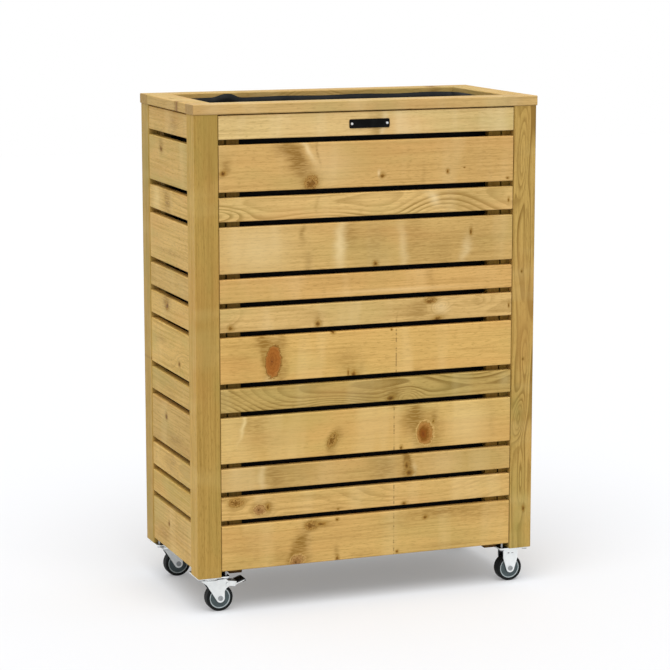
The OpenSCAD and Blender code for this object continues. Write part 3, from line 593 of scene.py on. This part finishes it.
for name, post in posts.items():
    bm = boardMesh()
    low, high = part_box(post["node"])
    tone = bm.verts.layers.float_vector["tone"]
    for v in addBoard(bm, low, high, (2, 0, 1), boardLook(**post["look"]), outward=post["outward"]):
        # Painted light: the left face's tone is raised
        if v.co.x < low.x + tiny:
            v[tone].x *= post.get("paintedLeftLight", 1.0)
    material = woodMaterial(name + "PostPine", post, scattered=name.startswith("back"))
    newPiece(bm, name + "Post", material, post["node"])

rims = {
    "front": {"node": "rim_front", "axes": (0, 1, 2),
              "look": {"tone": 0.98, "warm": -0.89, "ring": 0.2, "seed": 12.4},
              "hazes": [(-330, 0, 30, 60, 0, 0.25), (300, 0, 30, 60, 0, 0.3), (180, 20, 120, 20, 0, 0.2)]},
    "back": {"node": "rim_back", "axes": (0, 1, 2),
             "look": {"tone": 0.9, "warm": -0.3, "ring": 0.6, "seed": 21.3},
             "knots": [(262, -4, 8, 14, 0, "dark")],
             "swells": [(-10, -20, 60, 20, 0, 5), (150, -20, 90, 16, 0, 4)],
             "hazes": [(262, -10, 14, 20, 0, 0.8), (-130, -20, 40, 16, 0, 0.3)]},
    "left": {"node": "rim_left", "axes": (1, 0, 2),
             "look": {"tone": 0.96, "warm": -0.3, "ring": 0.3},
             "knots": [(-70, -27, 6, 7, 0, "brown")],
             "hazes": [(-66, -22, 12, 14, 0, 0.7)]},
    "right": {"node": "rim_right", "axes": (1, 0, 2), "look": {"tone": 0.94, "warm": -0.2, "ring": 0.3}},
}
for name, rim in rims.items():
    bm = boardMesh()
    addBoard(bm, *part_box(rim["node"]), rim["axes"], boardLook(**rim["look"]))
    material = woodMaterial(name + "RimPine", rim, scattered=name in ("left", "right"))
    newPiece(bm, name + "Rim", material, rim["node"])

# What stands behind the slats, measured inwards from a corner's outer faces, in millimetres
uprights = {
    "half": (350, 172.5), "foot": 74, "top": 846, "slatIn": 17.5, "post": 47,
    "battenAt": 68, "battenWide": 26, "battenDeep": 16, "battenFoot": 1.5, "cleatWide": 18, "cleatFoot": 13,
    # Painted shade: the low tones, lower on the left than on the right, and the dark band at the feet
    "look": {"warm": 1.5, "ring": 0.5}, "tone": {-1: 0.33, 1: 0.50}, "paintedFootShade": (-421, 0, 7, 400, 0, "dark"),
}


# An upright in the corner (sx, sy), from near to far, both measured inwards along x and y
def cornerBoard(bm, sx, sy, near, far, foot):
    halfX, halfY = uprights["half"]
    a = mm(sx * (halfX - near[0]), sy * (halfY - near[1]), uprights["foot"] + foot)
    b = mm(sx * (halfX - far[0]), sy * (halfY - far[1]), uprights["foot"] + uprights["top"])
    low = [min(p, q) for p, q in zip(a, b)]
    high = [max(p, q) for p, q in zip(a, b)]
    look = boardLook(tone=uprights["tone"][sx], **uprights["look"])
    addBoard(bm, low, high, (2, 0, 1), look, edge=eased["hidden"])


battens, cleats = boardMesh(), boardMesh()
slatIn, postIn, battenAt = uprights["slatIn"], uprights["post"], uprights["battenAt"]
battenFar = (battenAt + uprights["battenWide"], slatIn + uprights["battenDeep"])
cleatFar = (postIn + uprights["cleatWide"], postIn)
for sx in (-1, 1):
    for sy in (-1, 1):
        for bm, near, far, foot in ((battens, (battenAt, slatIn), battenFar, uprights["battenFoot"]),
                                    (cleats, (postIn, slatIn), cleatFar, uprights["cleatFoot"])):
            cornerBoard(bm, sx, sy, near, far, foot)
            cornerBoard(bm, sx, sy, near[::-1], far[::-1], foot)
# The dark band at the uprights' feet is painted shade, drawn as a long dark knot
uprightWood = woodMaterial("uprightPine", {"knots": [uprights["paintedFootShade"]]})
newPiece(battens, "panelBattens", uprightWood, "panel_battens")
newPiece(cleats, "cornerCleats", uprightWood, "corner_cleats")

frameWood = woodMaterial("framePine", scattered=True)

topRails = {"wide": 0.031, "halfLong": 0.303, "halfShort": 0.12365, "tone": 0.8}
low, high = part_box("top_rails")
bm = boardMesh()
for side in (-1, 1):
    y = sorted((side * high.y, side * (high.y - topRails["wide"])))
    x = sorted((side * high.x, side * (high.x - topRails["wide"])))
    halfLong, halfShort = topRails["halfLong"], topRails["halfShort"]
    for start, end, axes in (((-halfLong, y[0], low.z), (halfLong, y[1], high.z), (0, 2, 1)),
                             ((x[0], -halfShort, low.z), (x[1], halfShort, high.z), (1, 2, 0))):
        addBoard(bm, start, end, axes, boardLook(tone=topRails["tone"]), edge=eased["hidden"], outward=side)
newPiece(bm, "topRails", frameWood, "top_rails")

# The bearers' very low tone is painted shade: they show only in the shadow under the slats
bearers = {"wide": 0.027, "tone": 0.13}
low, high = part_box("floor_bearers")
bm = boardMesh()
for start, end, outward in ((low, (high.x, low.y + bearers["wide"], high.z), -1),
                            ((low.x, high.y - bearers["wide"], low.z), high, 1)):
    addBoard(bm, start, end, (0, 2, 1), boardLook(tone=bearers["tone"]), edge=eased["hidden"], outward=outward)
newPiece(bm, "floorBearers", frameWood, "floor_bearers")

floorBoards = {"wide": 0.088, "count": 6, "tone": 0.85}
low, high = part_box("floor_boards")
bm = boardMesh()
for i in range(floorBoards["count"]):
    x = low.x + i * (high.x - low.x - floorBoards["wide"]) / (floorBoards["count"] - 1)
    addBoard(bm, (x, low.y, low.z), (x + floorBoards["wide"], high.y, high.z), (1, 0, 2),
             boardLook(tone=floorBoards["tone"]))
newPiece(bm, "floorBoards", frameWood, "floor_boards")
print("wood done")


# The liner: a black woven sheet folded to a bag, its turned edge held at the rim, a loose hump at the back left
liner = {
    "columns": 300, "wallRows": 26, "floorRows": 9, "heelRows": 4, "corner": 0.014, "heel": 0.014,
    "thick": 0.0008, "clear": 0.0002, "top": 0.9695, "wave": 0.0007, "hem": 0.015, "hemRise": 0.0010,
    "hemStep": 0.0012, "belowHem": 0.004, "waves": (40, 34), "slackPower": 1.3, "fold": 0.0060,
    "foldScale": (9, 2.2), "crease": 0.0022, "creaseScale": (34, 7), "creaseShift": 4, "creaseLeast": 0.15,
    "rumple": 0.0014, "rumpleScale": 26, "rumpleShift": 7, "floorIn": 0.001, "floorGap": 0.004,
    "heelShare": 0.96, "cutHeight": 0.835,
    "humpAt": -0.189, "humpWide": 0.0195, "humpTall": 0.0080, "humpLean": 0.010, "humpDown": 0.012,
    "humpReach": 0.055,
}
cloth = {
    "weave": 0.0022, "under": (0.003, 0.003, 0.003, 1), "over": (0.011, 0.012, 0.012, 1), "gloss": 0.16,
    "sheen": 0.05, "sheenRough": 0.4, "dust": (0.050, 0.054, 0.058, 1), "dusty": 0.10, "dustSpecks": 60,
    "cloud": (0.006, 0.007, 0.008, 1), "clouds": 14, "cloudRange": (0.35, 0.7), "rough": (0.46, 0.62),
    "creases": (34, 34, 12), "creaseDeep": 0.004, "weaveDeep": 0.00025,
}


def linerMaterial():
    material, tree, shader = newMaterial("wovenLiner", Specular_IOR_Level=cloth["gloss"],
                                         Sheen_Weight=cloth["sheen"], Sheen_Roughness=cloth["sheenRough"])
    flat = put(tree, "UVMap", uv_map="cloth").outputs[0]
    u, v, _ = split(tree, scaled(tree, flat, (math.pi / cloth["weave"],) * 3))
    waveU, waveV = calc(tree, "SINE", u), calc(tree, "SINE", v)
    over = calc(tree, "GREATER_THAN", times(tree, waveU, waveV), 0.0)
    ridgeU, ridgeV = calc(tree, "ABSOLUTE", waveU), calc(tree, "ABSOLUTE", waveV)
    tape = put(tree, "Mix", {0: over, 2: ridgeU, 3: ridgeV}).outputs[0]
    place = put(tree, "TexCoord").outputs["Object"]
    cloud = noiseAt(tree, place, (cloth["clouds"],) * 3, 4, 0.55)
    dust = spread(tree, noiseAt(tree, place, (cloth["dustSpecks"],) * 3, 5, 0.7), 0.50, 0.80)
    colour = mixed(tree, spread(tree, tape, 0.0, 0.9), cloth["under"], cloth["over"])
    colour = mixed(tree, times(tree, dust, cloth["dusty"]), colour, cloth["dust"])
    colour = mixed(tree, spread(tree, cloud, *cloth["cloudRange"]), colour, cloth["cloud"])
    tree.links.new(colour, shader.inputs["Base Color"])
    tree.links.new(spread(tree, cloud, 0.3, 0.7, *cloth["rough"]), shader.inputs["Roughness"])
    creases = noiseAt(tree, place, cloth["creases"], 4, 0.55)
    broad = put(tree, "Bump", {"Height": creases, "Distance": cloth["creaseDeep"], "Strength": 0.5})
    fine = bumped(tree, shader, tape, cloth["weaveDeep"], 0.6)
    tree.links.new(broad.outputs[0], fine.inputs["Normal"])
    return material


# A point of the rounded rectangle of half sizes x and y, and the way out from it, for a share of the way round
def roundThe(x, y, corner, share):
    straightX, straightY, arc = 2 * (x - corner), 2 * (y - corner), math.pi / 2 * corner
    left = (share % 1.0) * 2 * (straightX + straightY + 2 * arc)
    cx, cy, turn = -(x - corner), -(y - corner), -math.pi / 2
    for straight in (straightX, straightY, straightX, straightY):
        out = Vector((math.cos(turn), math.sin(turn)))
        onward = Vector((-out.y, out.x))
        if left <= straight:
            return Vector((cx, cy)) + out * corner + onward * left, out
        left -= straight
        cx, cy = cx + onward.x * straight, cy + onward.y * straight
        if left <= arc:
            out = Vector((math.cos(turn + left / corner), math.sin(turn + left / corner)))
            return Vector((cx, cy)) + out * corner, out
        left -= arc
        turn += math.pi / 2
    return Vector((cx, cy)) + out * corner, out


# A share from 0 to 1 that varies over the cloth
def uneven(flat, scale, height):
    return 0.5 + 0.5 * noise.noise(Vector((flat.x * scale, flat.y * scale, height)))


def hump(place):
    return math.exp(-abs((place.x - liner["humpAt"]) / liner["humpWide"]) ** 3) if place.y > 0 else 0.0


# A point of the liner's wall; up is 0 at the floor and 1 at the edge, inset moves it in from the outer face
def wallPoint(x, y, bottom, share, up, inset):
    flat, out = roundThe(x, y, liner["corner"], share)
    wavesX, wavesY = liner["waves"]
    top = liner["top"] + liner["wave"] * math.sin(wavesX * flat.x
                                                  + wavesY * flat.y) + liner["humpTall"] * hump(flat)
    z = bottom + (top - bottom) * up
    slack = math.sin(math.pi * max(0.0, min(1.0, up)) ** liner["slackPower"])  # none at the edge and the floor
    foldScale, foldRise = liner["foldScale"]
    creaseScale, creaseRise = liner["creaseScale"]
    creased = liner["creaseLeast"] + (1 - liner["creaseLeast"]) * slack
    lean = inset + liner["fold"] * slack * uneven(flat, foldScale, z * foldRise)
    lean += liner["crease"] * creased * uneven(flat, creaseScale, z * creaseRise + liner["creaseShift"])
    lean += liner["humpLean"] * hump(flat) * math.exp(-(((top - z) - liner["humpDown"]) / liner["humpReach"]) ** 2)
    return Vector((*(flat - out * lean), z))


def nextRing(bm, ring):
    made = bmesh.ops.extrude_edge_only(bm, edges=ring)["geom"]
    return [e for e in made if isinstance(e, bmesh.types.BMEdge)]


low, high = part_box("liner")
bottom, heel, clear = low.z, liner["heel"], liner["clear"]
tall = liner["top"] - bottom
hemFoot = 1.0 - liner["hem"] / tall
wallRows, floorRows, heelRows = liner["wallRows"], liner["floorRows"], liner["heelRows"]
bm = bmesh.new()
uvLayer = bm.loops.layers.uv.new("cloth")
shareOf = bm.verts.layers.float.new("share")
heightOf = bm.verts.layers.float.new("height")
bmesh.ops.create_circle(bm, segments=liner["columns"], radius=1)
for v in bm.verts:
    v[shareOf] = (math.atan2(v.co.y, v.co.x) / (2 * math.pi)) % 1.0
wall = [(1.0, liner["hemRise"]), (hemFoot, liner["hemRise"]), (hemFoot - liner["hemStep"], clear)]
wallTop = hemFoot - liner["belowHem"]
wall += [((wallRows - i) / (wallRows + 1) * wallTop, clear) for i in range(wallRows)]
ring = list(bm.edges)
for level, (up, inset) in enumerate(wall):
    if level:
        ring = nextRing(bm, ring)
    for v in {v for e in ring for v in e.verts}:
        v.co = wallPoint(high.x, high.y, bottom, v[shareOf], up, inset)
        v[heightOf] = up * tall
for i in range(1, floorRows + 1):  # the heel's curve, then the floor, gathered to its middle
    ring = nextRing(bm, ring)
    angle = math.pi / 2 * min(1.0, i / heelRows)
    inward = heel * (1 - math.cos(angle)) + liner["floorIn"]
    if i > heelRows:
        inward += (high.y - heel - liner["floorGap"]) * (i - heelRows) / (floorRows - heelRows)
    for v in {v for e in ring for v in e.verts}:
        corner = max(0.001, liner["corner"] - inward)
        flat = roundThe(high.x - inward, high.y - inward, corner, v[shareOf])[0]
        rumple = liner["rumple"] * uneven(flat, liner["rumpleScale"], liner["rumpleShift"])
        z = bottom + clear + heel * (1 - math.sin(angle)) * liner["heelShare"] + rumple * min(1.0, i / heelRows)
        v.co = (flat.x, flat.y, z)
        v[heightOf] = -inward
bmesh.ops.holes_fill(bm, edges=ring, sides=0)
bmesh.ops.triangulate(bm, faces=[f for f in bm.faces if len(f.verts) > 4])
bmesh.ops.recalc_face_normals(bm, faces=bm.faces)
around = 4 * (high.x + high.y)
for face in bm.faces:
    shares = [loop.vert[shareOf] for loop in face.loops]
    wraps = max(shares) - min(shares) > 0.5
    for loop, share in zip(face.loops, shares):
        loop[uvLayer].uv = ((share + 1.0 if wraps and share < 0.5 else share) * around, loop.vert[heightOf])
linerPiece = newPiece(bm, "linerBag", linerMaterial(), "liner")
linerPiece.data.shade_smooth()
solidify = linerPiece.modifiers.new("cloth", "SOLIDIFY")
solidify.thickness = liner["thick"]
solidify.offset = -1
print("liner done")


# Bright steel, with painted shade where its recesses are deep. The legs of the forks and brackets stand either
# side of a middle, and their insides are painted dark too: painted shade and the painted reflection of the dark
# tyre.
zinc = {
    "bright": ((0.86, 0.89, 0.89, 1), 0.34), "clouds": 90, "dull": 0.92, "pits": 1800, "pitDeep": 0.00002,
    "reach": 0.028, "open": (0.22, 0.60), "legs": 0.136, "facing": (-0.008, -0.004), "inside": 0.90,
}


def zincMaterial(name, colour, roughness, paintedShade=(0.04, 0.042, 0.045, 1), middle=None):
    material, tree, shader = newMaterial(name, Metallic=0.92, Specular_IOR_Level=0.5)
    place = put(tree, "TexCoord").outputs["Object"]
    cloud = noiseAt(tree, place, (zinc["clouds"],) * 3, 3)
    dull = tuple(c * zinc["dull"] for c in colour[:3]) + (1,)
    # Painted shade: ambient occlusion darkens the steel in its recesses
    hidden = put(tree, "AmbientOcclusion", {"Distance": zinc["reach"]}, samples=8).outputs["AO"]
    finish = mixed(tree, spread(tree, cloud, 0.35, 0.70), colour, dull)
    finish = mixed(tree, spread(tree, hidden, *zinc["open"]), paintedShade, finish)
    # Painted shade and reflection: faces that look towards the middle are darkened
    if middle is not None:
        seen = put(tree, "TexCoord").outputs
        sideways = calc(tree, "SUBTRACT", split(tree, seen["Object"])[1], middle)
        facing = times(tree, sideways, split(tree, seen["Normal"])[1])
        finish = mixed(tree, spread(tree, facing, *zinc["facing"], zinc["inside"], 0.0), finish, paintedShade)
    tree.links.new(finish, shader.inputs["Base Color"])
    tree.links.new(spread(tree, cloud, 0.3, 0.7, roughness, roughness + 0.10), shader.inputs["Roughness"])
    bumped(tree, shader, noiseAt(tree, place, (zinc["pits"],) * 3, 3), zinc["pitDeep"], 0.4)
    return material


moulded = {"wear": 90, "wearRange": (0.35, 0.75), "paler": 1.35, "lift": 0.003, "dull": 0.12, "bump": 0.6}


def mouldedMaterial(name, colour, roughness, gloss=0.35, grain=2200, depth=0.00004):
    material, tree, shader = newMaterial(name, Specular_IOR_Level=gloss)
    place = put(tree, "TexCoord").outputs["Object"]
    worn = spread(tree, noiseAt(tree, place, (moulded["wear"],) * 3, 4, 0.6), *moulded["wearRange"])
    wornColour = tuple(c * moulded["paler"] + moulded["lift"] for c in colour[:3]) + (1,)
    tree.links.new(mixed(tree, worn, colour, wornColour), shader.inputs["Base Color"])
    tree.links.new(spread(tree, worn, 0.0, 1.0, roughness, roughness + moulded["dull"]),
                   shader.inputs["Roughness"])
    bumped(tree, shader, noiseAt(tree, place, (grain,) * 3, 3), depth, moulded["bump"])
    return material


finishes = {  # by slot
    "zinc_steel": zincMaterial("zincPlate", *zinc["bright"]),
    "screw_zinc": zincMaterial("screwZinc", (0.74, 0.75, 0.76, 1), 0.30),
    "ball_steel": zincMaterial("ballSteel", (0.60, 0.60, 0.61, 1), 0.12),
    "wheel_core": mouldedMaterial("greyCore", (0.47, 0.53, 0.54, 1), 0.42),
    "wheel_guard": mouldedMaterial("slateGuard", (0.055, 0.078, 0.082, 1), 0.34),
    "tyre_rubber": mouldedMaterial("blackRubber", (0.005, 0.006, 0.006, 1), 0.60, 0.16, 1500, 0.00008),
    "pedal_plastic": mouldedMaterial("blackPlastic", (0.010, 0.010, 0.011, 1), 0.42, 0.30),
    "plate_black": mouldedMaterial("blackPlate", (0.003, 0.003, 0.003, 1), 0.45, 0.05, 3000, 0.00003),
}
# The rivets' painted shade in their recesses is blacker
rivetSteel = zincMaterial("rivetSteel", (0.36, 0.38, 0.39, 1), 0.34, paintedShade=(0.02, 0.02, 0.022, 1))
dullScrew = zincMaterial("dullScrew", (0.40, 0.41, 0.42, 1), 0.40)
ownFinish = {"front_left_axle": rivetSteel, "back_left_axle": rivetSteel, "fixed_axles": rivetSteel,
             "caster_screws": dullScrew}
# Forks and brackets: the faces of their legs that look inwards get painted shade
for end, middle in (("front", -zinc["legs"]), ("back", zinc["legs"])):
    shadedLegZinc = zincMaterial(end + "LegZincShadedInside", *zinc["bright"], middle=middle)
    ownFinish[end + "_left_fork"] = ownFinish[end + "_right_bracket"] = shadedLegZinc
for part in frame["record"]["subparts"]:
    finish = ownFinish.get(part["node"], finishes.get(part["material_slot"]))
    if finish:
        node = frame["nodes"][part["node"]]
        node.data.materials.clear()
        node.data.materials.append(finish)
print("finishes done")


# 1 for rays that the camera sees, straight or by reflection: these see a brighter floor and sky than the part does
def seenRays(tree):
    rays = put(tree, "LightPath").outputs
    seen = calc(tree, "MAXIMUM", rays["Is Camera Ray"], rays["Is Glossy Ray"])
    return calc(tree, "MAXIMUM", seen, rays["Is Transmission Ray"])


studio = {
    "floorSize": 9, "floor": (0.592, 0.60, 0.618, 1), "lift": 0.235, "ambient": 0.70, "white": (1, 1, 1, 1),
    "sun": 2.1, "sunFrom": (-0.17, -0.42, 0.89), "sunAngle": 50,
}

floorMaterial = bpy.data.materials.new("studioFloor")
tree = emptyTree(floorMaterial)
diffuse = put(tree, "BsdfDiffuse", {0: studio["floor"]})
glow = put(tree, "Emission", {0: studio["white"], 1: times(tree, seenRays(tree), studio["lift"])})
put(tree, "OutputMaterial", {0: put(tree, "AddShader", {0: diffuse.outputs[0], 1: glow.outputs[0]}).outputs[0]})

bm = bmesh.new()
bmesh.ops.create_grid(bm, x_segments=1, y_segments=1, size=studio["floorSize"])
floor = newObject(bm, "floor", floorMaterial)

world = bpy.data.worlds.new("studio")
bpy.context.scene.world = world
tree = emptyTree(world)
level = spread(tree, seenRays(tree), 0.0, 1.0, studio["ambient"], 1.0, smooth=False)
put(tree, "OutputWorld", {0: put(tree, "Background", {0: studio["white"], 1: level}).outputs[0]})

lamp = bpy.data.lights.new("sun", "SUN")
lamp.energy = studio["sun"]
lamp.angle = math.radians(studio["sunAngle"])
sun = link(bpy.data.objects.new("sun", lamp))
sun.rotation_euler = Vector(studio["sunFrom"]).to_track_quat("Z", "Y").to_euler()

bpy.context.scene.view_settings.view_transform = "Standard"

print("studio done")
